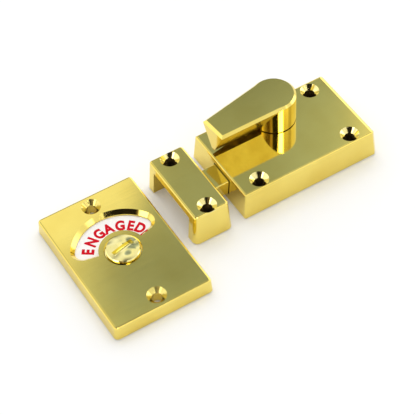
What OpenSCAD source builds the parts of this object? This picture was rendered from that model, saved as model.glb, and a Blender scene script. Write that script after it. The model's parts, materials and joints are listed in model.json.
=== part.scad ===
// Toilet indicator bolt in polished cast brass, laid out as a set of three units:
// a surface bolt with a turn lever, its keep, and an indicator plate with a coin release.
// Millimetres, +Z up. The origin is on the turn lever's axis, in the plane that screws to the door.
// The bolt slides along X and shoots towards -X into the keep.

/* [Castings] */
// Draft angle of the cast side faces
draft = 4.3; // [2:0.1:6]
// Rounding along the top edges of the castings
edge_r = 0.9; // [0.4:0.1:0.9]
// Upright corner rounding that is left on the top faces of the keep and the plate
corner_r = 0.5; // [0.4:0.1:1.6]
// Rounding along the top edge at the back end of the case
back_edge_r = 1.8; // [0.9:0.1:2]
// Depth to which the upright edges at the front of the case are broken
front_break = 0.35; // [0.2:0.05:0.6]
// Depth to which the upright edges at the back of the case are broken
back_break = 0.9; // [0.4:0.05:1.1]

/* [Screw holes] */
// Diameter of the fixing screw holes
hole_d = 4; // [3.6:0.1:4.6]
// Diameter of the countersinks at the top faces
sink_d = 7.4; // [7:0.1:8]
// Metal left round a countersink in the screw pillars
pillar_wall = 0.4; // [0.3:0.1:0.8]

/* [Bolt case] */
// Length of the case along the bolt
case_l = 60; // [58:0.5:68]
// Width of the case
case_w = 37.4; // [36:0.2:42]
// Height of the case above the door
case_h = 11.7; // [11:0.1:14]
// Thickness of the case walls at the door
case_wall = 2.4; // [2:0.1:2.8]
// Thickness of the case roof
case_roof = 1.7; // [1.4:0.1:2.2]
// Corner rounding inside the case
inner_r = 1.5; // [1:0.1:2]
// Distance from the ends of the case to its screws
case_hole_end = 9.7; // [8:0.1:11]
// Distance from the sides of the case to its screws
case_hole_side = 5.2; // [4.8:0.1:5.6]
// Offset of the lever axis from the case centre, along the bolt
axis_dx = 1.1; // [-1:0.1:3]
// Distance from the far side of the case to the lever axis
axis_side = 9; // [8.8:0.1:9.6]
// Thickness of the case back plate
back_t = 1.6; // [1.2:0.1:2]
// Width of the lip round the back plate
back_lip = 1.4; // [1:0.1:1.8]
// Distance between the back plate screws along the bolt
back_screw_dx = 20; // [19:0.5:22]

/* [Bolt] */
// Width of the bolt tongue
bolt_w = 10.3; // [9:0.1:11]
// Height of the bolt tongue
bolt_h = 6.5; // [5:0.1:6.8]
// Distance that the bolt travels in a half turn of the lever
bolt_throw = 13.2; // [12.4:0.1:13.6]
// Room between the bolt and the case roof
bolt_room = 0.5; // [0.45:0.05:0.8]
// Rounding along the edges of the tongue
bolt_edge_r = 0.4; // [0.2:0.1:0.8]
// Height that the tail shoulder stands out from the side of the tongue
shoulder = 1.2; // [0.8:0.1:1.3]
// Thickness of the web behind the rack teeth
rack_web = 1; // [0.6:0.1:1.2]
// Room round the tongue in its slot
slot_clear = 0.4; // [0.2:0.05:0.45]
// Thickness of the leaf spring beside the bolt
leaf_t = 0.35; // [0.25:0.05:0.4]
// Height of the bow in the leaf spring
leaf_bow = 0.9; // [0.5:0.1:1.2]
// Height of the leaf spring strip
leaf_h = 4.5; // [3:0.5:5]
// Length of the hooks at the ends of the leaf spring
leaf_hook = 3; // [2:0.1:3.2]

/* [Turn lever] */
// Radius of the lever boss
boss_r = 8.65; // [7.8:0.05:9]
// Height of the lever above the ring that it turns on
lever_h = 12.6; // [10:0.1:15]
// Length of the lever from its axis to its tip
lever_l = 28.8; // [24:0.2:29]
// Step from the side of the boss to the side of the arm
arm_step = 0.1; // [0.05:0.05:0.3]
// Thickness of the lever over the pinion shank
lever_cap = 4.5; // [3:0.1:5]
// Width of the lever at its tip
tip_w = 11.6; // [9:0.1:12]
// Angle by which the lever points aside from the bolt
lever_aside = 5.5; // [0:0.5:8]
// Angle by which the sides of the arm are cut back towards the door
undercut = 26; // [22:0.5:27]
// Height of the arm above the foot of the boss
arm_lift = 1.5; // [1.2:0.1:2.5]
// Width of the bevel round the top of the arm
lever_bevel = 1; // [0.6:0.1:1.2]
// Width of the bevel round the top of the boss
boss_bevel = 0.9; // [0.5:0.1:1]
// Radius of the lever stem in the case roof
stem_r = 5; // [4.6:0.1:5.2]
// Wall thickness of the bush in the case roof
bush_wall = 0.95; // [0.8:0.05:1.1]
// Radius of the ring under the lever boss
ring_r = 7.8; // [7.4:0.1:8.2]
// Thickness of the ring under the lever boss
ring_t = 0.35; // [0.3:0.05:0.6]
// Diameter of the grub screw in the boss
grub_d = 3; // [2.5:0.5:3]
// Depth of the grub screw below the side of the boss
grub_sink = 0.5; // [0.4:0.1:1]

/* [Pinion] */
// Number of pinion teeth
pinion_teeth = 14; // [14:2:16]
// Pressure angle of the teeth
pressure = 25; // [20:1:25]
// Play between pinion and rack teeth
backlash = 0.2; // [0.16:0.02:0.3]
// Side of the square socket for the door spindle
socket_w = 4.2; // [4.1:0.1:4.3]
// Metal left over the spindle socket
socket_end = 3; // [2:0.1:4]
// Radius of the pinion shank in the lever
shank_r = 3.6; // [3.4:0.1:3.8]
// Radius of the pinion journal in the back plate
journal_r = 3.45; // [3.3:0.05:3.5]
// Radius of the pinion flange
flange_r = 6.2; // [5.9:0.1:6.4]
// Thickness of the pinion flange
flange_t = 0.8; // [0.6:0.1:1]
// Thickness of the thrust washer under the case roof
washer_t = 0.4; // [0.3:0.05:0.5]
// Thickness of the dished springs
spring_t = 0.3; // [0.2:0.05:0.4]
// Height of the dished spring on the pinion
spring_rise = 0.55; // [0.45:0.05:0.7]

/* [Keep] */
// Thickness of the keep along the bolt
keep_l = 16.6; // [15:0.2:18]
// Width of the keep across the bolt
keep_w = 35.4; // [35:0.2:40]
// Thickness of the bar over the bolt
keep_bar = 3; // [2.6:0.1:4]
// Room between the bolt and the bar of the keep
keep_room = 1.2; // [0.6:0.1:2]
// Thickness of the legs of the keep
keep_leg = 5; // [4.4:0.1:5.2]
// Distance from the ends of the keep to its screws
keep_hole_side = 4.45; // [4.3:0.05:4.6]
// Gap between the case and the keep
keep_gap = 5.5; // [3:0.5:8]
// Radius of the screw pillars inside the legs
keep_pillar_r = 3.7; // [3.2:0.1:3.8]

/* [Indicator plate] */
// Width of the indicator plate
plate_l = 40.6; // [40:0.2:48]
// Length of the indicator plate
plate_w = 59.6; // [58.6:0.2:66]
// Height of the indicator plate above the door
plate_h = 5.9; // [5.8:0.1:7]
// Distance from the ends of the indicator plate to its screws
plate_hole_end = 5.7; // [5.2:0.05:5.9]
// Gap between the keep and the indicator plate
plate_gap = 4.7; // [3:0.1:12]
// Offset of the indicator plate from the bolt centreline
plate_dy = -8.8; // [-12:0.2:0]
// Thickness of the face over the sign disc
face_t = 2; // [1.8:0.1:2.2]
// Inner radius of the sign window
window_ri = 9; // [8.8:0.1:9.6]
// Outer radius of the sign window at the face
window_ro = 19.2; // [18:0.1:19.6]
// Width of the bevel round the window
window_bevel = 1.5; // [1:0.1:1.8]
// Height of the upright edge below the bevel of the window
window_land = 0.6; // [0.4:0.1:0.8]
// Corner rounding of the window at the face
window_r = 4.5; // [3.6:0.1:5]
// Angle from the plate's cross line to the ends of the window
window_end = 13; // [8:0.5:20]

/* [Coin release and sign] */
// Radius of the coin release head
coin_r = 6.45; // [6.4:0.05:7]
// Height that the coin release stands above the face
coin_rise = 1.5; // [1.2:0.1:1.6]
// Height of the dome on the coin release
coin_dome = 0.5; // [0.3:0.1:0.6]
// Height of the bevel round the rim of the coin release
coin_bevel = 0.3; // [0.2:0.1:0.4]
// Room round the coin release head
coin_clear = 0.3; // [0.1:0.05:0.35]
// Height of the bevel round the hole for the coin release
coin_hole_bevel = 0.3; // [0.2:0.1:0.4]
// Length of the coin slot
slot_l = 9; // [8:0.1:10]
// Width of the coin slot at the top
slot_w = 2.2; // [1.8:0.1:2.4]
// Depth of the coin slot
slot_d = 1.7; // [1:0.1:1.8]
// Draft angle of the sides of the coin slot
slot_draft = 6; // [2:1:10]
// Angle of the coin slot from the plate's cross line
slot_turn = 11; // [-10:1:15]
// Thickness of the face over the flange of the coin release
coin_ledge = 1; // [0.8:0.1:1.2]
// Width of the flange lip that holds the coin release in
coin_lip = 1.1; // [0.9:0.05:1.15]
// Radius of the sign disc
disc_r = 17.9; // [17.4:0.1:18]
// Thickness of the sign disc
disc_t = 0.8; // [0.6:0.1:0.9]
// Radius of the release hub that carries the sign disc
hub_r = 4.5; // [4.4:0.1:4.8]
// Depth of the flats on the release hub
hub_cut = 0.7; // [0.5:0.05:0.8]
// Depth of the ring groove in the release hub
hub_groove = 0.55; // [0.4:0.05:0.6]
// Height of the hub below the ring groove
hub_end = 0.7; // [0.6:0.05:0.8]
// Thickness of the retaining ring on the release hub
clip_t = 0.5; // [0.4:0.05:0.55]
// Width of the retaining ring on the release hub
clip_w = 1.6; // [1.2:0.1:2]
// Outer radius of the spring washer under the release hub
release_spring_r = 5.5; // [5:0.1:6]
// Thickness of the indicator back cover
cover_t = 0.8; // [0.6:0.1:0.9]
// Width of the rim that the plate leaves round the cover
cover_rim = 1.8; // [1.6:0.1:2]
// Corner rounding of the indicator back cover
cover_r = 2; // [1:0.1:2.4]
// Distance between the cover screws, each way
cover_screw_d = 30.8; // [30.6:0.1:31]

/* [Small screws] */
// Diameter of the back plate screws
small_d = 2.4; // [2:0.1:2.6]
// Head diameter of the back plate screws
small_head_d = 4.6; // [4.2:0.1:5]
// Diameter of the cover screws
tiny_d = 1.6; // [1.4:0.1:1.8]
// Head diameter of the cover screws
tiny_head_d = 2.8; // [2.6:0.1:3]
// Length of the cross slots in the heads, as a share of the head
drive_l = 0.6; // [0.5:0.05:0.7]
// Width of the cross slots in the heads, as a share of the head
drive_w = 0.16; // [0.12:0.02:0.2]

/* [Clearances] */
// Radial clearance of turning fits
run_clear = 0.05; // [0.03:0.01:0.08]
// Clearance between fixed pieces that fit together
seat_clear = 0.02; // [0.01:0.01:0.04]
// Gap round the case back plate
back_clear = 0.1; // [0.05:0.05:0.2]
// Gap between faces that slide past each other
slide_clear = 0.3; // [0.2:0.05:0.4]
// Gap between stacked washers, rings and turning faces
stack_clear = 0.05; // [0.03:0.01:0.1]

/* [Hidden] */
$fn = 96;
far = 200;
cut = 0.5;
// Steps that keep a rounding from just touching the faces that it joins
ease = 0.005;
window_ease = 0.03;

// Case and its screw pillars
case_x = -axis_dx;
case_y = axis_side - case_w / 2;
case_front = case_x - case_l / 2;
case_hole_dx = case_l - 2 * case_hole_end;
case_hole_dy = case_w - 2 * case_hole_side;
pillar_r = sink_d / 2 + pillar_wall;
case_holes = [for (sx = [-1, 1], sy = [-1, 1]) [sx * case_hole_dx / 2, sy * case_hole_dy / 2]];
back_screws = [for (sx = [-1, 1], sy = [-1, 1]) [sx * back_screw_dx / 2, sy * case_hole_dy / 2]];
back_boss_r = small_head_d / 2 + seat_clear;

// Bolt beside the leaf spring, which leans on the two near pillars
leaf_y = case_y - case_hole_dy / 2 + pillar_r + stack_clear;
leaf_crown = leaf_y + leaf_t + leaf_bow;
tail_near = leaf_crown + stack_clear;
bolt_y = tail_near + shoulder + bolt_w / 2;

// Places of the keep and the indicator plate
keep_x = case_front - keep_gap - keep_l / 2;
plate_x = keep_x - keep_l / 2 - plate_gap - plate_l / 2;
plate_y = bolt_y + plate_dy;

// Heights inside the case
roof_z = case_h - case_roof;
back_screw_l = roof_z - 2 * case_roof;
washer_z = roof_z - stack_clear - washer_t;
spring_z = washer_z - spring_rise;
flange_top = spring_z - stack_clear;
flange_z = flange_top - flange_t;
rack_top = flange_z - slide_clear;
tail_z = back_t + slide_clear;
bolt_top = roof_z - bolt_room;
bolt_z = bolt_top - bolt_h;

// Pinion and rack teeth
pitch_r = bolt_throw / PI;
tooth_m = 2 * pitch_r / pinion_teeth;
tooth_pitch = PI * tooth_m;
addendum = 0.8 * tooth_m;
dedendum = tooth_m;
base_r = pitch_r * cos(pressure);
tooth_steps = 6;

// Bolt places
tail_front = case_front + case_wall + slide_clear;
tail_back = case_x + case_l / 2 - case_wall - bolt_throw - 2 * slide_clear;
rack_root = -pitch_r - dedendum;
tall_far = -flange_r - slide_clear;

// Turn lever heights
ring_z = case_h;
boss_z = ring_z + ring_t + stack_clear;
lever_top = boss_z + lever_h;
shank_top = lever_top - lever_cap;
socket_top = shank_top - socket_end;
grub_z = boss_z + lever_h / 3;
grub_turn = 60;
bush_r = stem_r + run_clear + bush_wall;

// Corner of the lever's tip, and the place where the side of its arm meets the boss
arm_r = boss_r - arm_step;
tip = [lever_l, tip_w / 2];
touch = polar(arm_r, atan2(tip[1], tip[0]) + acos(arm_r / norm(tip)));

// Keep
keep_h = bolt_top + keep_room + keep_bar;
keep_hole_dy = keep_w - 2 * keep_hole_side;

// Indicator plate heights
face_z = plate_h - face_t;
plate_hole_dy = plate_w - 2 * plate_hole_end;
window_z = face_z + window_land;
disc_top = face_z - 2 * stack_clear;
disc_z = disc_top - disc_t;
coin_flange_r = coin_r + coin_lip;
coin_hole_r = coin_r + coin_clear;
hub_flat = hub_r - hub_cut;
clip_z = disc_z - stack_clear - clip_t;
clip_ri = hub_r - hub_groove;
hub_z = clip_z - hub_end;
pocket_r = disc_r + slide_clear;
cover_l = plate_l - 2 * cover_rim;
cover_screw_l = face_z - cover_t;

// Involute of the pressure angle, in degrees
function involute(a) = tan(a) * 180 / PI - a;

// Half of a pinion tooth's angle at radius r
function tooth_half(r) =
    90 / pinion_teeth - backlash / 4 / pitch_r * 180 / PI
    + involute(pressure) - (r > base_r ? involute(acos(base_r / r)) : 0);

// Flank radii from root to tip
flank = [for (i = [0:tooth_steps])
    let (low = max(base_r, pitch_r - dedendum)) low + (pitch_r + addendum - low) * i / tooth_steps];

function polar(r, a) = [r * cos(a), r * sin(a)];

// Cross-section of a drafted casting with rounded top edges, standing on the X axis
module cast_profile(base, height, left_r, right_r) {
    radii = [left_r, right_r];
    mid_x = [for (r = radii) base / 2 - (height - r) * tan(draft) - r / cos(draft)];
    side = [for (i = [0, 1])
        [mid_x[i] + (radii[i] - ease) * cos(draft), height - radii[i] + (radii[i] - ease) * sin(draft)]];
    polygon([[-base / 2, 0], [base / 2, 0], side[1], [mid_x[1], height],
        [-mid_x[0], height], [-side[0][0], side[0][1]]]);
    translate([-mid_x[0], height - left_r])
        circle(left_r);
    translate([mid_x[1], height - right_r])
        circle(right_r);
}

// Drafted block with rounded top edges and rounded upright corners, standing on z = 0
module cast_block(l, w, h) {
    r = corner_r + (h - edge_r) * tan(draft) + edge_r / cos(draft);
    rotate([90, 0, 0])
        linear_extrude(w - 2 * r, center = true)
            cast_profile(l, h, edge_r, edge_r);
    rotate([90, 0, 90])
        linear_extrude(l - 2 * r, center = true)
            cast_profile(w, h, edge_r, edge_r);
    for (sx = [0, 1], sy = [0, 1])
        mirror([sx, 0, 0])
            mirror([0, sy, 0])
                translate([l / 2 - r, w / 2 - r, 0])
                    rotate_extrude(angle = 90)
                        intersection() {
                            cast_profile(2 * r, h, edge_r, edge_r);
                            square([r, h]);
                        }
}

// Drafted block of the case, with rounded top edges and broken upright edges, rounder at the back
module case_block() {
    difference() {
        intersection() {
            rotate([90, 0, 0])
                linear_extrude(case_w + 2 * cut, center = true)
                    cast_profile(case_l, case_h, edge_r, back_edge_r);
            rotate([90, 0, 90])
                linear_extrude(case_l + 2 * cut, center = true)
                    cast_profile(case_w, case_h, edge_r, edge_r);
        }
        for (sx = [0, 1], sy = [0, 1])
            mirror([sx, 0, 0])
                mirror([0, sy, 0])
                    translate([case_l / 2, case_w / 2, 0])
                        rotate([0, -atan(sqrt(2) * tan(draft)), 45])
                            translate([far / 2 - (sx == 0 ? back_break : front_break), 0, 0])
                                cube(far, center = true);
    }
}

// Rectangle with rounded corners, centred
module round_rect(l, w, r) {
    square([l - 2 * r, w], center = true);
    square([l, w - 2 * r], center = true);
    for (sx = [-1, 1], sy = [-1, 1])
        translate([sx * (l / 2 - r), sy * (w / 2 - r)])
            circle(r);
}

// Countersunk through hole whose countersink opens at height top
module sunk_hole(d, head_d, top) {
    depth = (head_d - d) / 2;
    translate([0, 0, -cut])
        cylinder(d = d, h = top + 2 * cut);
    translate([0, 0, top - depth])
        cylinder(d1 = d, d2 = head_d, h = depth);
    translate([0, 0, top])
        cylinder(d = head_d, h = cut);
}

// Countersunk screw with a cross slot, head down, its head flush with z = 0
module sunk_screw(d, head_d, l) {
    depth = (head_d - d) / 2;
    difference() {
        union() {
            cylinder(d1 = head_d, d2 = d, h = depth);
            cylinder(d = d, h = l);
        }
        for (a = [0, 90])
            rotate(a)
                cube([head_d * drive_l, head_d * drive_w, depth], center = true);
    }
}

// Dished spring washer that leans from its inner edge below to its outer edge above
module dished_washer(ri, ro, t, rise) {
    rotate_extrude()
        polygon([[ri, 0], [ri, t], [ro, rise], [ro, rise - t]]);
}

module flat_washer(ri, ro, t) {
    rotate_extrude()
        translate([ri, 0])
            square([ro - ri, t]);
}

// Square socket that runs up from below z = 0
module square_socket(top) {
    translate([-socket_w / 2, -socket_w / 2, -cut])
        cube([socket_w, socket_w, top + cut]);
}

module at_case() {
    translate([case_x, case_y, 0])
        children();
}

module at_plate() {
    translate([plate_x, plate_y, 0])
        children();
}

module at_keep() {
    translate([keep_x, bolt_y, 0])
        children();
}

// Hollow inside of the case, with the screw pillars left standing
module case_hollow() {
    difference() {
        translate([0, 0, -cut])
            linear_extrude(roof_z + cut)
                round_rect(case_l - 2 * case_wall, case_w - 2 * case_wall, inner_r);
        for (p = case_holes)
            translate(p)
                cylinder(r = pillar_r, h = far);
        for (p = back_screws)
            translate(p)
                cylinder(r = back_boss_r, h = far);
    }
    translate([0, 0, -cut])
        linear_extrude(back_t + cut)
            round_rect(case_l - 2 * back_lip, case_w - 2 * back_lip, inner_r);
}

module bolt_case() {
    color("goldenrod")
    difference() {
        at_case()
            difference() {
                case_block();
                case_hollow();
                for (p = case_holes)
                    translate(p)
                        sunk_hole(hole_d, sink_d, case_h);
                for (p = back_screws)
                    translate(concat(p, -cut))
                        cylinder(d = small_d + 2 * seat_clear, h = back_screw_l + 2 * cut);
            }
        cylinder(r = bush_r + seat_clear, h = far);
        translate([case_front - cut, bolt_y - bolt_w / 2 - slot_clear, bolt_z - slot_clear])
            cube([case_wall + 2 * cut, bolt_w + 2 * slot_clear, bolt_h + 2 * slot_clear]);
    }
}

module case_back_plate() {
    lip = back_lip + back_clear;
    color("silver")
    difference() {
        at_case()
            difference() {
                linear_extrude(back_t)
                    round_rect(case_l - 2 * lip, case_w - 2 * lip, inner_r);
                for (p = case_holes)
                    translate(concat(p, -cut))
                        cylinder(d = hole_d + 2 * slide_clear, h = far);
                for (p = back_screws)
                    translate(concat(p, back_t))
                        mirror([0, 0, 1])
                            sunk_hole(small_d + 2 * seat_clear, small_head_d + 2 * seat_clear, back_t);
            }
        translate([0, 0, -cut])
            cylinder(r = journal_r + run_clear, h = far);
    }
}

module back_plate_screws() {
    color("gainsboro")
    at_case()
        for (p = back_screws)
            translate(p)
                sunk_screw(small_d, small_head_d, back_screw_l);
}

// Rack teeth on the far side of the bolt, one of them facing the pinion at x = 0
module rack_teeth() {
    half = tooth_pitch / 4 - backlash / 4;
    lean = tan(pressure);
    count = pinion_teeth / 2 + 2;
    for (k = [-count:2])
        translate([k * tooth_pitch, -pitch_r])
            polygon([[-half - dedendum * lean, -dedendum], [half + dedendum * lean, -dedendum],
                [half - addendum * lean, addendum], [-half + addendum * lean, addendum]]);
}

module bolt_bar() {
    color("gold") {
        translate([case_front - bolt_throw, bolt_y, bolt_z + bolt_h / 2])
            rotate([90, 0, 90])
                linear_extrude(tail_front - case_front + bolt_throw + shoulder)
                    round_rect(bolt_w, bolt_h, bolt_edge_r);
        translate([tail_front, tail_near, tail_z])
            cube([tail_back - tail_front, rack_root - tail_near, rack_top - tail_z]);
        translate([tail_front, tail_near, tail_z])
            cube([tail_back - tail_front, tall_far - tail_near, bolt_top - tail_z]);
        translate([0, 0, tail_z])
            linear_extrude(rack_top - tail_z)
                union() {
                    rack_teeth();
                    translate([tail_front, rack_root - rack_web])
                        square([tail_back - tail_front, rack_web]);
                }
    }
}

// Bowed strip with a hook at each end
module bolt_leaf_spring() {
    half = case_hole_dx / 2 + pillar_r + 2 * stack_clear;
    bend_r = (half * half + leaf_bow * leaf_bow) / (2 * leaf_bow);
    color("silver")
    translate([case_x, 0, (tail_z + bolt_top - leaf_h) / 2])
        linear_extrude(leaf_h)
            union() {
                intersection() {
                    translate([0, leaf_crown - bend_r])
                        difference() {
                            circle(bend_r, $fn = 720);
                            circle(bend_r - leaf_t, $fn = 720);
                        }
                    translate([-half, leaf_y])
                        square([2 * half, far]);
                }
                for (s = [-1, 1])
                    translate([s * (half + leaf_t / 2), leaf_y + leaf_t / 2 - leaf_hook / 2])
                        square([leaf_t, leaf_hook], center = true);
            }
}

// Space beside the arm: over its bevel and outside its side, which is cut back towards the door
module beside_arm() {
    translate([tip[0], tip[1], lever_top - lever_bevel])
        rotate([90, 0, 90 + atan2(tip[1] - touch[1], tip[0] - touch[0])])
            linear_extrude(far, center = true)
                polygon([[0, 0], [-far, far], [far, far], [far, -far], [-far * tan(undercut), -far]]);
}

// Arm of the lever, along +X and not yet cut off at its top
module lever_arm() {
    difference() {
        translate([touch[0], -far / 2, boss_z + arm_lift])
            cube([lever_l - touch[0], far, lever_h - arm_lift + lever_bevel]);
        for (s = [0, 1])
            mirror([0, s, 0])
                beside_arm();
        translate([lever_l, 0, lever_top - lever_bevel])
            rotate([0, -45, 0])
                translate([0, -far / 2, 0])
                    cube([far, far, far]);
    }
}

module turn_lever() {
    color("gold")
    difference() {
        union() {
            rotate(180 + lever_aside)
                lever_arm();
            translate([0, 0, boss_z])
                cylinder(r = boss_r, h = lever_h - boss_bevel);
            translate([0, 0, lever_top - boss_bevel])
                cylinder(r1 = boss_r, r2 = boss_r - 2 * boss_bevel, h = 2 * boss_bevel);
            translate([0, 0, flange_top])
                cylinder(r = stem_r, h = boss_z - flange_top);
        }
        translate([-far / 2, -far / 2, lever_top])
            cube([far, far, far]);
        translate([0, 0, flange_top - cut])
            cylinder(r = shank_r + seat_clear, h = shank_top + stack_clear - flange_top + cut);
        rotate(grub_turn)
            translate([0, 0, grub_z])
                rotate([0, 90, 0])
                    cylinder(d = grub_d + 2 * seat_clear, h = far);
    }
}

module lever_grub_screw() {
    start = shank_r + stack_clear;
    l = boss_r - grub_sink - start;
    color("dimgray")
    rotate(grub_turn)
        translate([start, 0, grub_z])
            rotate([0, 90, 0])
                difference() {
                    cylinder(d = grub_d, h = l);
                    translate([0, 0, l / 2])
                        cylinder(d = grub_d / 2, h = l, $fn = 6);
                }
}

// Flanged bush: its flange is the dark ring under the lever boss
module lever_bush() {
    color("black") {
        translate([0, 0, ring_z])
            flat_washer(stem_r + run_clear, ring_r, ring_t);
        translate([0, 0, roof_z])
            flat_washer(stem_r + run_clear, bush_r, case_roof);
    }
}

// Outline of the pinion, with a tooth gap facing the rack
module pinion_outline() {
    root_r = pitch_r - dedendum;
    radii = concat([root_r], flank);
    last = len(radii) - 1;
    polygon([for (i = [0:pinion_teeth - 1])
        let (mid = 270 + (i + 0.5) * 360 / pinion_teeth)
        each concat(
            [for (k = [0:last]) polar(radii[k], mid - tooth_half(radii[k]))],
            [for (k = [0:last]) polar(radii[last - k], mid + tooth_half(radii[last - k]))])]);
}

module turn_pinion() {
    color("silver")
    difference() {
        union() {
            translate([0, 0, stack_clear])
                cylinder(r = journal_r, h = tail_z);
            translate([0, 0, tail_z])
                linear_extrude(flange_z - tail_z)
                    pinion_outline();
            translate([0, 0, flange_z])
                cylinder(r = flange_r, h = flange_t);
            translate([0, 0, flange_z])
                cylinder(r = shank_r, h = shank_top - flange_z);
        }
        square_socket(socket_top);
    }
}

module pinion_disc_spring() {
    color("silver")
    translate([0, 0, spring_z])
        dished_washer(stem_r + 2 * run_clear, flange_r, spring_t, spring_rise);
}

module pinion_thrust_washer() {
    color("gainsboro")
    translate([0, 0, washer_z])
        flat_washer(stem_r + 2 * run_clear, bush_r + pillar_wall, washer_t);
}

module keep() {
    hole_y = keep_hole_dy / 2;
    opening_w = keep_w - 2 * keep_leg;
    color("goldenrod")
    at_keep()
        difference() {
            cast_block(keep_l, keep_w, keep_h);
            difference() {
                translate([-far / 2, -opening_w / 2, -cut])
                    cube([far, opening_w, keep_h - keep_bar + cut]);
                for (s = [-1, 1])
                    translate([0, s * hole_y, -2 * cut])
                        cylinder(r = keep_pillar_r, h = far);
            }
            for (s = [-1, 1])
                translate([0, s * hole_y, 0])
                    sunk_hole(hole_d, sink_d, keep_h);
        }
}

// Edge of the window in section, set out from x by the bevel, from low below the face to high above it
function window_edge(x, side, low, high) = [for (z = [low, window_z, high])
    [x + side * (max(z, window_z) - plate_h) * window_bevel / (face_t - window_land), z]];

// One end of the window, with the lip of the end along +X
module window_end_cut(low, high) {
    mid_r = window_ro - window_r;
    mid_x = sqrt(mid_r * mid_r - window_r * window_r);
    translate([mid_x, window_r, 0])
        rotate_extrude()
            polygon(concat([[0, high], [0, low]], window_edge(window_r, 1, low, high)));
    rotate([90, 0, 90])
        linear_extrude(mid_x)
            polygon(concat([[window_r + cut, high], [window_r + cut, low]],
                window_edge(window_ease, -1, low, high)));
}

// Bevelled window over the sign, a ring sector with rounded outer corners
module window_cut() {
    low = face_z - cut;
    high = plate_h + cut;
    lead = asin(window_r / (window_ro - window_r));
    first = window_end + lead;
    difference() {
        union() {
            rotate(first)
                rotate_extrude(angle = 180 - 2 * first)
                    polygon(concat([[window_r, high], [window_r, low]],
                        window_edge(window_ro, 1, low, high)));
            for (s = [0, 1])
                mirror([s, 0, 0])
                    rotate(window_end)
                        window_end_cut(low, high);
        }
        cylinder(r = window_ri, h = far);
    }
}

module indicator_plate() {
    color("goldenrod")
    at_plate()
        difference() {
            cast_block(plate_l, plate_w, plate_h);
            window_cut();
            translate([0, 0, -cut])
                cylinder(r = pocket_r, h = face_z + cut);
            translate([0, 0, -cut])
                cylinder(r = coin_flange_r + run_clear, h = plate_h - coin_ledge + cut);
            translate([0, 0, -cut])
                cylinder(r = coin_hole_r, h = far);
            translate([0, 0, plate_h - coin_hole_bevel])
                cylinder(r1 = coin_hole_r, r2 = coin_hole_r + 2 * coin_hole_bevel, h = 2 * coin_hole_bevel);
            translate([0, 0, -cut])
                linear_extrude(cover_t + cut)
                    round_rect(cover_l + 2 * seat_clear, cover_l + 2 * seat_clear, cover_r);
            for (s = [-1, 1])
                translate([0, s * plate_hole_dy / 2, 0])
                    sunk_hole(hole_d, sink_d, plate_h);
            for (sx = [-1, 1], sy = [-1, 1])
                translate([sx * cover_screw_d / 2, sy * cover_screw_d / 2, 0])
                    cylinder(d = tiny_d + 2 * seat_clear, h = cover_screw_l + stack_clear);
        }
}

// Domed head with a coin slot, a flange behind the face, and a hub with flats for the sign disc
module coin_release() {
    head_z = plate_h - coin_ledge - stack_clear;
    side_z = plate_h + coin_rise - coin_dome;
    dome_r = (coin_r * coin_r + coin_dome * coin_dome) / (2 * coin_dome);
    slot_lean = slot_d * tan(slot_draft);
    color("gold")
    at_plate()
        difference() {
            union() {
                translate([0, 0, stack_clear])
                    cylinder(r = journal_r, h = hub_z);
                translate([0, 0, hub_z])
                    release_hub(0, disc_top - hub_z);
                translate([0, 0, disc_top])
                    cylinder(r = coin_flange_r, h = head_z - disc_top);
                intersection() {
                    union() {
                        translate([0, 0, disc_top])
                            cylinder(r = coin_r, h = side_z - coin_bevel - disc_top);
                        translate([0, 0, side_z - coin_bevel])
                            cylinder(r1 = coin_r, r2 = coin_r - coin_rise, h = coin_rise);
                    }
                    translate([0, 0, side_z + coin_dome - dome_r])
                        sphere(dome_r, $fn = 360);
                }
            }
            translate([0, 0, plate_h + coin_rise - slot_d])
                rotate([90, 0, 90 + slot_turn])
                    linear_extrude(slot_l, center = true)
                        polygon([[-slot_w / 2 + slot_lean, 0], [slot_w / 2 - slot_lean, 0],
                            [slot_w / 2 + slot_lean, 2 * slot_d], [-slot_w / 2 - slot_lean, 2 * slot_d]]);
            square_socket(disc_top);
            translate([0, 0, clip_z - stack_clear])
                flat_washer(clip_ri, hub_r + cut, clip_t + 2 * stack_clear);
        }
}

// Round hub with two flats, grown by room
module release_hub(room, h) {
    intersection() {
        cylinder(r = hub_r + room, h = h);
        translate([-hub_flat - room, -far / 2, 0])
            cube([2 * (hub_flat + room), far, h]);
    }
}

module sign_disc() {
    color("white")
    at_plate()
        translate([0, 0, disc_z])
            difference() {
                cylinder(r = disc_r, h = disc_t);
                translate([0, 0, -cut])
                    release_hub(seat_clear, disc_t + 2 * cut);
            }
}

// Open ring in the groove of the release hub
module release_clip() {
    ri = clip_ri + seat_clear;
    color("dimgray")
    at_plate()
        translate([0, 0, clip_z])
            difference() {
                flat_washer(ri, ri + clip_w, clip_t);
                translate([0, -far - ri / 2, -cut])
                    translate([-ri / 2, 0, 0])
                        cube([ri, far, clip_t + 2 * cut]);
            }
}

module release_spring_washer() {
    low = cover_t + stack_clear;
    color("silver")
    at_plate()
        translate([0, 0, hub_z - stack_clear])
            mirror([0, 0, 1])
                dished_washer(journal_r + run_clear, release_spring_r, spring_t, hub_z - stack_clear - low);
}

module indicator_back_cover() {
    color("silver")
    at_plate()
        difference() {
            linear_extrude(cover_t)
                round_rect(cover_l, cover_l, cover_r);
            translate([0, 0, -cut])
                cylinder(r = journal_r + run_clear, h = far);
            for (sx = [-1, 1], sy = [-1, 1])
                translate([sx * cover_screw_d / 2, sy * cover_screw_d / 2, cover_t])
                    mirror([0, 0, 1])
                        sunk_hole(tiny_d + 2 * seat_clear, tiny_head_d + 2 * seat_clear, cover_t);
        }
}

module cover_screws() {
    color("gainsboro")
    at_plate()
        for (sx = [-1, 1], sy = [-1, 1])
            translate([sx * cover_screw_d / 2, sy * cover_screw_d / 2, 0])
                sunk_screw(tiny_d, tiny_head_d, cover_screw_l);
}

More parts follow.
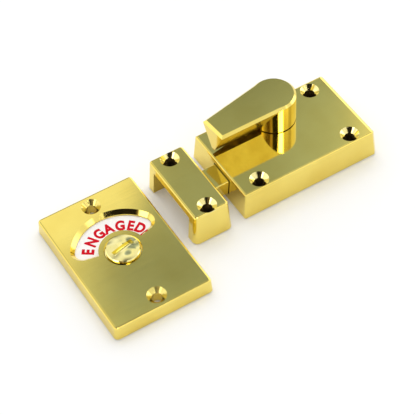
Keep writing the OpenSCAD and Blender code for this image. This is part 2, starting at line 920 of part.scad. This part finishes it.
bolt_case();
case_back_plate();
back_plate_screws();
bolt_bar();
bolt_leaf_spring();
turn_lever();
lever_grub_screw();
lever_bush();
turn_pinion();
pinion_disc_spring();
pinion_thrust_washer();
keep();
indicator_plate();
coin_release();
sign_disc();
release_clip();
release_spring_washer();
indicator_back_cover();
cover_screws();
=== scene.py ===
import bpy
import json
import math
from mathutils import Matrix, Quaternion, Vector


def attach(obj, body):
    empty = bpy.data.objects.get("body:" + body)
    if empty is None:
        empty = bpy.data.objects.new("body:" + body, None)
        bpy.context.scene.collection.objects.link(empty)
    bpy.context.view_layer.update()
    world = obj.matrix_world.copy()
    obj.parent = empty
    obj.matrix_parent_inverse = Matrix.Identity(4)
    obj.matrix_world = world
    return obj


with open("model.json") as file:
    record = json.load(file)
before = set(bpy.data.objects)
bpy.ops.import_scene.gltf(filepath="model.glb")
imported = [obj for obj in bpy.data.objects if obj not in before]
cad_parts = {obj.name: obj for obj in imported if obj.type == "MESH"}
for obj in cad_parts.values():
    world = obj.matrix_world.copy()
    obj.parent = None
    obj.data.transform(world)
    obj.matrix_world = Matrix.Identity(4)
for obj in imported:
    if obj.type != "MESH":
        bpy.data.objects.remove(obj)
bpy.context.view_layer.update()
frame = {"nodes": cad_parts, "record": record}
nodes = frame["nodes"]
scene = bpy.context.scene
scene.view_settings.view_transform = "Standard"
print("frame loaded,", len(nodes), "nodes")


# a socket that takes part in shader maths as a number does
class Wire:
    def __init__(self, sheet, socket):
        self.sheet = sheet
        self.socket = socket

    def math(self, operation, first, second):
        return self.sheet.add("ShaderNodeMath", {"operation": operation}, {0: first, 1: second})

    def __add__(self, other):
        return self.math("ADD", self, other)

    def __radd__(self, other):
        return self.math("ADD", other, self)

    def __sub__(self, other):
        return self.math("SUBTRACT", self, other)

    def __rsub__(self, other):
        return self.math("SUBTRACT", other, self)

    def __mul__(self, other):
        return self.math("MULTIPLY", self, other)

    def __rmul__(self, other):
        return self.math("MULTIPLY", other, self)

    def __truediv__(self, other):
        return self.math("DIVIDE", self, other)

    def __rtruediv__(self, other):
        return self.math("DIVIDE", other, self)


# the node tree of one material or of the world
class NodeSheet:
    def __init__(self, owner):
        owner.use_nodes = True
        self.tree = owner.node_tree
        self.tree.nodes.clear()

    def add(self, kind, settings=None, inputs=None, output=0):
        node = self.tree.nodes.new(kind)
        for key, value in (settings or {}).items():
            setattr(node, key, value)
        for key, value in (inputs or {}).items():
            if isinstance(value, Wire):
                self.tree.links.new(value.socket, node.inputs[key])
            else:
                node.inputs[key].default_value = value
        return Wire(self, node.outputs[output]) if node.outputs else node

    # number that runs smoothly from 0 to 1 as value goes from low to high
    def fade(self, value, low, high):
        return self.add("ShaderNodeMapRange", {"interpolation_type": "SMOOTHSTEP"},
                        {"Value": value, "From Min": low, "From Max": high})

    # 1 where value lies within half of 0, with a soft edge
    def within(self, value, half, soft):
        size = self.add("ShaderNodeMath", {"operation": "ABSOLUTE"}, {0: value})
        return 1 - self.fade(size, half - soft, half + soft)

    # colour between first and second
    def blend(self, share, first, second):
        return self.add("ShaderNodeMix", {"data_type": "RGBA"}, {0: share, 6: first, 7: second}, 2)

    # how far direction runs along axis
    def along(self, direction, axis):
        return self.add("ShaderNodeVectorMath", {"operation": "DOT_PRODUCT"},
                        {0: direction, 1: axis}, "Value")

    def noise(self, place, scale, detail):
        return self.add("ShaderNodeTexNoise", inputs={"Vector": place, "Scale": scale, "Detail": detail})

    def bump(self, height, distance):
        return self.add("ShaderNodeBump",
                        inputs={"Height": height, "Strength": 1.0, "Distance": distance})

    # closes a material with its principled shader
    def surface(self, inputs):
        shader = self.add("ShaderNodeBsdfPrincipled", inputs=inputs)
        self.add("ShaderNodeOutputMaterial", inputs={"Surface": shader})


def rgb(red, green, blue):
    return (red, green, blue, 1)


def newMaterial(name):
    material = bpy.data.materials.new(name)
    return material, NodeSheet(material)


# camera, at the photograph's viewing angle
viewpoint = {
    "lens": 135.1,
    "sensor": 36,
    "target": (-0.0399, -0.01595, 0),
    "distance": 0.5828,
    "heading": 29.15,       # turned from +Y towards +X, degrees like the two below
    "elevation": 50.56,
    "roll": -3.2,
}


def placeCamera(v):
    heading = math.radians(v["heading"])
    lift = math.radians(v["elevation"])
    level = Vector((math.sin(heading), math.cos(heading), 0))
    ahead = level * math.cos(lift) - Vector((0, 0, math.sin(lift)))
    bpy.ops.object.camera_add()
    camera = bpy.context.object
    camera.name = "photoCamera"
    camera.data.lens = v["lens"]
    camera.data.sensor_width = v["sensor"]
    camera.rotation_mode = "QUATERNION"
    camera.location = Vector(v["target"]) - ahead * v["distance"]
    turn = Quaternion((0, 0, 1), math.radians(v["roll"]))
    camera.rotation_quaternion = ahead.to_track_quat("-Z", "Y") @ turn
    scene.camera = camera
    return ahead


lookAhead = placeCamera(viewpoint)
print("camera placed")

# studio, with angles in degrees: a pale tent that is darker overhead, panels at a turn from the
# camera's heading and a rise above the floor, and a grey card ahead that the flat tops mirror
studio = {
    "tent": rgb(1.0, 1.0, 1.0),
    "roof": rgb(0.20, 0.20, 0.21),
    "roofFade": (60, 70),
    "fillNear": rgb(0.62, 0.62, 0.62),
    "fillFar": rgb(1.35, 1.35, 1.35),
    "fillFade": (-0.4, 0.9),        # along the camera's heading
    "card": {
        "tint": (1.0, 1.19, 1.48),
        "left": (-7.2, -2.8),       # each edge fades between two angles
        "right": (4.9, 7),
        "middle": -1, "tall": 6.5, "soft": 1.5,
        "cut": (-2.9, -1.8), "cutSlope": 2,     # upper left corner, cut off aslant
        "ahead": (0.5, 0.8),
        "tone": 0.36,
        "shades": [
            {"way": "right", "from": 1.5, "to": 6, "change": 0.16},
            {"way": "down", "from": 2.4, "to": 5.6, "change": -0.15},
            {"way": "up", "from": 0.5, "to": 2, "change": -0.06},
            {"way": "up", "from": 2.5, "to": 4.5, "change": 0.12},
        ],
    },
    "panels": [
        {"turn": 0, "rise": 50, "wide": 14, "tall": 9, "soft": 3, "colour": rgb(1.12, 1.12, 1.08)},
        {"turn": 116, "rise": 53, "wide": 14, "tall": 9, "soft": 3, "colour": rgb(2.0, 2.0, 2.0)},
        {"turn": 104, "rise": 51, "wide": 24, "tall": 4, "soft": 2, "colour": rgb(0.50, 0.48, 0.45)},
        {"turn": -66, "rise": 50, "wide": 22, "tall": 10, "soft": 5, "colour": rgb(0.46, 0.46, 0.42)},
        {"turn": -146, "rise": 46, "wide": 26, "tall": 13, "soft": 5, "colour": rgb(0.16, 0.11, 0.06)},
        {"turn": -165, "rise": 47, "wide": 5, "tall": 12, "soft": 4, "colour": rgb(0.60, 0.44, 0.28)},
        {"turn": 174, "rise": 47, "wide": 14, "tall": 13, "soft": 3, "colour": rgb(0.015, 0.012, 0.01)},
        {"turn": 146, "rise": 51, "wide": 11, "tall": 7, "soft": 3, "colour": rgb(15.0, 15.0, 15.0)},
        {"turn": 178, "rise": 42.5, "wide": 35, "tall": 4, "soft": 2, "colour": rgb(0.015, 0.012, 0.01)},
        {"turn": -131, "rise": 37, "wide": 11, "tall": 8, "soft": 3, "colour": rgb(3.0, 3.0, 2.9)},
        {"turn": 190, "rise": 19, "wide": 50, "tall": 10, "soft": 3, "colour": rgb(1.6, 1.6, 1.6)},
        {"turn": -85, "rise": 17, "wide": 28, "tall": 13, "soft": 5, "colour": rgb(1.35, 1.35, 1.35)},
        {"turn": 62, "rise": 14, "wide": 30, "tall": 10, "soft": 5, "colour": rgb(2.2, 2.2, 2.2)},
        {"turn": 112, "rise": 39, "wide": 8, "tall": 5.5, "soft": 3, "colour": rgb(2.4, 2.4, 2.4)},
        {"turn": 18, "rise": 23, "wide": 14, "tall": 13, "soft": 4, "colour": rgb(2.2, 2.2, 2.2)},
        {"turn": -12, "rise": 23, "wide": 9, "tall": 15, "soft": 4, "colour": rgb(0.20, 0.22, 0.22)},
    ],
}


def towards(turn):
    heading = math.radians(viewpoint["heading"] + turn)
    return Vector((math.sin(heading), math.cos(heading), 0))


# colour with the card laid over it, round the ray that a flat top mirrors
def holdCard(sheet, direction, colour, c):
    mirror = Vector((lookAhead.x, lookAhead.y, -lookAhead.z))
    level = Vector((mirror.y, -mirror.x, 0)).normalized()
    degree = math.radians(1)
    right = sheet.along(direction, level) / degree
    up = sheet.along(direction, level.cross(mirror)) / degree
    ways = {"right": right, "up": up, "down": 0 - up}
    above = sheet.add("ShaderNodeMath", {"operation": "MAXIMUM"}, {0: up, 1: 0})
    slant = right + c["cutSlope"] * above
    share = sheet.fade(slant, *c["cut"]) * sheet.fade(right, *c["left"]) \
        * (1 - sheet.fade(right, *c["right"])) \
        * sheet.within(up - c["middle"], c["tall"], c["soft"]) \
        * sheet.fade(sheet.along(direction, mirror), *c["ahead"])
    tone = c["tone"]
    for shade in c["shades"]:
        tone = tone + shade["change"] * sheet.fade(ways[shade["way"]], shade["from"], shade["to"])
    card = sheet.add("ShaderNodeVectorMath", {"operation": "SCALE"}, {0: c["tint"], "Scale": tone})
    return sheet.blend(share, colour, card)


def lightStudio(s):
    world = bpy.data.worlds.new("studioTent")
    scene.world = world
    sheet = NodeSheet(world)
    direction = sheet.add("ShaderNodeTexCoord", output="Generated")
    degree = math.radians(1)
    height = sheet.along(direction, (0, 0, 1))
    lift = sheet.add("ShaderNodeMath", {"operation": "ARCSINE"}, {0: height}) / degree
    colour = sheet.blend(sheet.fade(lift, *s["roofFade"]), s["tent"], s["roof"])
    for panel in s["panels"]:
        ahead = sheet.along(direction, towards(panel["turn"]))
        aside = sheet.along(direction, towards(panel["turn"] + 90))
        sway = sheet.add("ShaderNodeMath", {"operation": "ARCTAN2"}, {0: aside, 1: ahead}) / degree
        share = sheet.within(sway, panel["wide"], panel["soft"]) \
            * sheet.within(lift - panel["rise"], panel["tall"], panel["soft"])
        colour = sheet.blend(share, colour, panel["colour"])
    colour = holdCard(sheet, direction, colour, s["card"])
    # polished faces mirror the panels, and matt ones get a soft fill, brighter from the far side
    away = sheet.along(direction, towards(0))
    fill = sheet.blend(sheet.fade(away, *s["fillFade"]), s["fillNear"], s["fillFar"])
    glossyRay = sheet.add("ShaderNodeLightPath", output="Is Glossy Ray")
    colour = sheet.blend(glossyRay, fill, colour)
    cameraRay = sheet.add("ShaderNodeLightPath", output="Is Camera Ray")
    colour = sheet.blend(cameraRay, colour, rgb(1, 1, 1))
    light = sheet.add("ShaderNodeBackground", inputs={"Color": colour, "Strength": 1.0})
    sheet.add("ShaderNodeOutputWorld", inputs={"Surface": light})


lightStudio(studio)

# soft lamp that hangs above the far side and shows in no polished face
farLamp = {"place": (0.18, 0.40, 1.0), "size": 0.9, "power": 3.4}


def hangLamp(f):
    bpy.ops.object.light_add(type="AREA", location=f["place"])
    lamp = bpy.context.object
    lamp.name = "farLamp"
    lamp.data.size = f["size"]
    lamp.data.energy = f["power"]
    lamp.visible_glossy = False


hangLamp(farLamp)

# floor: pale and matt, with a little glow where the camera or a polished face sees it
floorFinish = {
    "size": 6,
    "drop": 0.0004,         # below the backs of the castings
    "colour": rgb(0.97, 0.97, 0.97),
    "glowShare": 0.08,
    "mirrorShare": 0.04,
}


def layFloor(f):
    bpy.ops.object.select_all(action="DESELECT")
    bpy.ops.mesh.primitive_plane_add(size=f["size"], location=(0, 0, -f["drop"]))
    floor = bpy.context.object
    floor.name = "floor"
    material, sheet = newMaterial("paleFloor")
    seen = sheet.add("ShaderNodeLightPath", output="Is Camera Ray")
    mirrored = sheet.add("ShaderNodeLightPath", output="Is Glossy Ray")
    matt = sheet.add("ShaderNodeBsdfDiffuse", inputs={"Color": f["colour"]})
    glow = sheet.add("ShaderNodeEmission", inputs={"Color": rgb(1, 1, 1), "Strength": 1.0})
    share = seen * f["glowShare"] + mirrored * f["mirrorShare"]
    mixed = sheet.add("ShaderNodeMixShader", inputs={0: share, 1: matt, 2: glow})
    sheet.add("ShaderNodeOutputMaterial", inputs={"Surface": mixed})
    floor.data.materials.append(material)


layFloor(floorFinish)
print("studio ready")

# finishes: a colour that drifts to another in clouds, and a grain that changes roughness and relief
# everyFinish holds what a finish has unless it says otherwise
everyFinish = {"cloudDetail": 3.0, "cloudFade": (0.35, 0.7), "fine": 3.0, "shine": 0.5}
finishes = {
    "polished_brass": {
        "colour": rgb(0.89, 0.72, 0.18), "drift": rgb(0.84, 0.66, 0.15), "clouds": 60,
        "metallic": 1.0, "roughness": 0.05, "uneven": 0.05,
        "grain": (60, 1500, 1500), "relief": 0.0},
    "turned_brass": {
        "colour": rgb(0.95, 0.87, 0.42), "drift": rgb(0.89, 0.79, 0.30), "clouds": 200,
        "metallic": 1.0, "roughness": 0.04, "uneven": 0.05,
        "grain": (230, 230, 230), "relief": 0.00034, "fine": 0.0},
    # paler brass on the countersinks of case and keep: the pale colour is a painted highlight
    "sink_brass_painted_highlight": {
        "colour": rgb(0.94, 0.83, 0.38), "drift": rgb(0.90, 0.77, 0.28), "clouds": 300,
        "metallic": 1.0, "roughness": 0.06, "uneven": 0.06,
        "grain": (1200, 1200, 1200), "relief": 0.0},
    "satin_brass": {
        "colour": rgb(0.81, 0.68, 0.21), "drift": rgb(0.73, 0.59, 0.15), "clouds": 160,
        "metallic": 1.0, "roughness": 0.13, "uneven": 0.10,
        "grain": (900, 900, 90), "relief": 0.00001},
    # rough cast brass whose very dark colour is painted shade in the screw holes and under the lever's
    # arm
    "cast_brass_painted_shade": {
        "colour": rgb(0.10, 0.065, 0.02), "drift": rgb(0.22, 0.15, 0.05), "clouds": 350,
        "metallic": 0.8, "roughness": 0.55, "uneven": 0.2,
        "grain": (1800, 1800, 1800), "relief": 0.00008},
    # rougher brass, and darker than polished: the darker colour is painted shade inside the keep's mouth
    "dull_brass_painted_shade": {
        "colour": rgb(0.72, 0.56, 0.12), "drift": rgb(0.62, 0.47, 0.09), "clouds": 260,
        "metallic": 1.0, "roughness": 0.34, "uneven": 0.2,
        "grain": (1600, 1600, 1600), "relief": 0.00003},
    "plain_steel": {
        "colour": rgb(0.60, 0.61, 0.62), "drift": rgb(0.48, 0.49, 0.51), "clouds": 120,
        "metallic": 1.0, "roughness": 0.30, "uneven": 0.15,
        "grain": (90, 2400, 2400), "relief": 0.00002},
    "spring_steel": {
        "colour": rgb(0.46, 0.46, 0.47), "drift": rgb(0.36, 0.34, 0.33), "clouds": 220,
        "metallic": 1.0, "roughness": 0.20, "uneven": 0.15,
        "grain": (2000, 2000, 2000), "relief": 0.0},
    "zinc_screw": {
        "colour": rgb(0.72, 0.74, 0.77), "drift": rgb(0.62, 0.62, 0.58), "clouds": 300,
        "metallic": 1.0, "roughness": 0.26, "uneven": 0.12,
        "grain": (2600, 2600, 2600), "relief": 0.00001},
    "black_screw": {
        "colour": rgb(0.03, 0.03, 0.032), "drift": rgb(0.05, 0.045, 0.04), "clouds": 400,
        "metallic": 0.6, "roughness": 0.38, "uneven": 0.15,
        "grain": (2600, 2600, 2600), "relief": 0.00001},
    "black_nylon": {
        "colour": rgb(0.018, 0.018, 0.02), "drift": rgb(0.028, 0.028, 0.03), "clouds": 300,
        "metallic": 0.0, "roughness": 0.45, "uneven": 0.15,
        "grain": (3000, 3000, 3000), "relief": 0.00001},
    "white_sign": {
        "colour": rgb(0.96, 0.94, 0.925), "drift": rgb(0.94, 0.92, 0.90), "clouds": 90,
        "metallic": 0.0, "roughness": 0.30, "uneven": 0.12,
        "grain": (1500, 1500, 1500), "relief": 0.000004},
    "red_ink": {
        "colour": rgb(0.66, 0.003, 0.016), "drift": rgb(0.60, 0.003, 0.013), "clouds": 700, "shine": 0.1,
        "metallic": 0.0, "roughness": 0.5, "uneven": 0.12,
        "grain": (2500, 2500, 2500), "relief": 0.000003},
    "green_ink": {
        "colour": rgb(0.01, 0.22, 0.06), "drift": rgb(0.008, 0.18, 0.05), "clouds": 700, "shine": 0.1,
        "metallic": 0.0, "roughness": 0.5, "uneven": 0.12,
        "grain": (2500, 2500, 2500), "relief": 0.000003},
}


def mixFinish(name, f):
    material, sheet = newMaterial(name)
    place = sheet.add("ShaderNodeTexCoord", output="Object")
    clouds = sheet.fade(sheet.noise(place, f["clouds"], f["cloudDetail"]), *f["cloudFade"])
    grainPlace = sheet.add("ShaderNodeMapping", inputs={"Vector": place, "Scale": f["grain"]})
    grain = sheet.noise(grainPlace, 1.0, f["fine"])
    inputs = {
        "Base Color": sheet.blend(clouds, f["colour"], f["drift"]),
        "Metallic": f["metallic"],
        "Specular IOR Level": f["shine"],
        "Roughness": f["roughness"] + grain * f["uneven"]}
    if f["relief"]:
        inputs["Normal"] = sheet.bump(grain, f["relief"])
    sheet.surface(inputs)
    return material


materials = {name: mixFinish(name, {**everyFinish, **finish}) for name, finish in finishes.items()}
for part in frame["record"]["subparts"]:
    slots = nodes[part["node"]].data.materials
    slots.clear()
    slots.append(materials[part["material_slot"]])
nodes["coin_release"].data.materials[0] = materials["turned_brass"]     # paler than the castings

mounts = {mount["name"]: mount for mount in frame["record"]["mounts"]}


def screwPlaces(name):
    x, y = mounts[name]["pos_m"][:2]
    dims = mounts[name]["dims"]
    halfMm = 0.0005
    halfX, halfY = dims.get("spacing_x_mm", 0) * halfMm, dims["spacing_y_mm"] * halfMm
    return [(x + i * halfX, y + j * halfY) for i in (-1, 1) for j in (-1, 1)]


# faces that have another finish than the rest of their piece, found by place and slope, some of them
# with painted shade or a painted highlight
facePlaces = {
    "holeReach": 0.0022,            # from the middle of a screw hole
    "holeTop": 0.0099,
    "sinkReach": 0.0037,
    "sinkSlope": (0.3, 0.9),
    "mouth": (0.0074, 0.0128, 0.0108),      # half length, half width and height
    "undercutSlope": (-0.9, -0.2),
    "underArmTop": 0.0142,
}


def nearHole(place, holes, reach):
    return any(math.hypot(place.x - x, place.y - y) < reach for x, y in holes)


def inHole(polygon, holes):
    place = polygon.center
    return place.z < facePlaces["holeTop"] and nearHole(place, holes, facePlaces["holeReach"])


def inSink(polygon, holes):
    low, high = facePlaces["sinkSlope"]
    return low < polygon.normal.z < high and nearHole(polygon.center, holes, facePlaces["sinkReach"])


def inMouth(polygon):
    x, y = mounts["keep_screws"]["pos_m"][:2]
    place = polygon.center
    deep, wide, high = facePlaces["mouth"]
    return abs(place.x - x) < deep and abs(place.y - y) < wide and place.z < high


def undercut(polygon):
    low, high = facePlaces["undercutSlope"]
    return low < polygon.normal.z < high


def underArm(polygon):
    flat = polygon.normal.z < facePlaces["undercutSlope"][0]
    return flat and polygon.center.z < facePlaces["underArmTop"]


def finishFaces(node, finish, chosen):
    mesh = nodes[node].data
    mesh.materials.append(materials[finish])
    for polygon in mesh.polygons:
        if chosen(polygon):
            polygon.material_index = len(mesh.materials) - 1


caseHoles = screwPlaces("case_screws")
keepHoles = screwPlaces("keep_screws")
plateHoles = screwPlaces("plate_screws")
# screw holes of the case: very dark cast brass, painted shade in the bores
finishFaces("bolt_case", "cast_brass_painted_shade", lambda polygon: inHole(polygon, caseHoles))
# countersinks of the case: paler brass, a painted highlight
finishFaces("bolt_case", "sink_brass_painted_highlight", lambda polygon: inSink(polygon, caseHoles))
finishFaces("indicator_plate", "satin_brass", lambda polygon: inSink(polygon, plateHoles))
# inside of the keep's mouth: rougher brass whose darker colour is painted shade
finishFaces("keep", "dull_brass_painted_shade", inMouth)
# screw holes of the keep: very dark cast brass, painted shade in the bores
finishFaces("keep", "cast_brass_painted_shade", lambda polygon: inHole(polygon, keepHoles))
# countersinks of the keep: paler brass, a painted highlight
finishFaces("keep", "sink_brass_painted_highlight", lambda polygon: inSink(polygon, keepHoles))
finishFaces("turn_lever", "satin_brass", undercut)
# underside of the lever's arm: very dark cast brass, painted shade under the arm
finishFaces("turn_lever", "cast_brass_painted_shade", underArm)
print("finishes set")

# words on the sign, printed in thin ink: one shows, the other comes up after half a turn
signWords = {
    "centre": mounts["release_socket"]["pos_m"],
    "top": 0.0038,          # face of the disc
    "ink": 0.00003,
    "foot": 0.01095,        # from the centre to the feet of the letters
    "size": 0.0060,
    "bold": 0.00029,
    "narrow": 0.82,
    "words": [
        {"word": "ENGAGED", "turns": (145, 124, 104, 86, 66, 48.5, 32), "ink": "red_ink"},
        {"word": "VACANT", "turns": (318, 298, 279, 259, 240, 220), "ink": "green_ink"},
    ],
}


def printWord(w, word, turns, ink):
    letters = []
    for letter, turn in zip(word, map(math.radians, turns)):
        bpy.ops.object.select_all(action="DESELECT")
        bpy.ops.object.text_add()
        text = bpy.context.object
        text.data.body = letter
        text.data.align_x = "CENTER"
        text.data.size = w["size"]
        text.data.offset = w["bold"]
        text.data.extrude = w["ink"] / 2
        bpy.ops.object.convert(target="MESH")
        piece = bpy.context.object
        piece.scale.x = w["narrow"]
        piece.rotation_euler.z = turn - math.pi / 2
        x, y = w["centre"][:2]
        piece.location = (x + w["foot"] * math.cos(turn), y + w["foot"] * math.sin(turn),
                          w["top"] + w["ink"] / 2)
        bpy.ops.object.transform_apply(location=True, rotation=True, scale=True)
        letters.append(piece)
    bpy.ops.object.select_all(action="DESELECT")
    for piece in letters:
        piece.select_set(True)
    bpy.context.view_layer.objects.active = letters[0]
    bpy.ops.object.join()
    piece = bpy.context.object
    bpy.ops.object.mode_set(mode="EDIT")
    bpy.ops.mesh.select_all(action="SELECT")
    bpy.ops.mesh.normals_make_consistent(inside=False)
    bpy.ops.object.mode_set(mode="OBJECT")
    piece.name = "sign_word_" + word.lower()
    piece.data.materials.clear()
    piece.data.materials.append(materials[ink])
    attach(piece, "release")
    print(piece.name, "made,", len(piece.data.polygons), "faces, height", round(piece.dimensions.y, 5))


for sign in signWords["words"]:
    printWord(signWords, sign["word"], sign["turns"], sign["ink"])
print("sign printed")
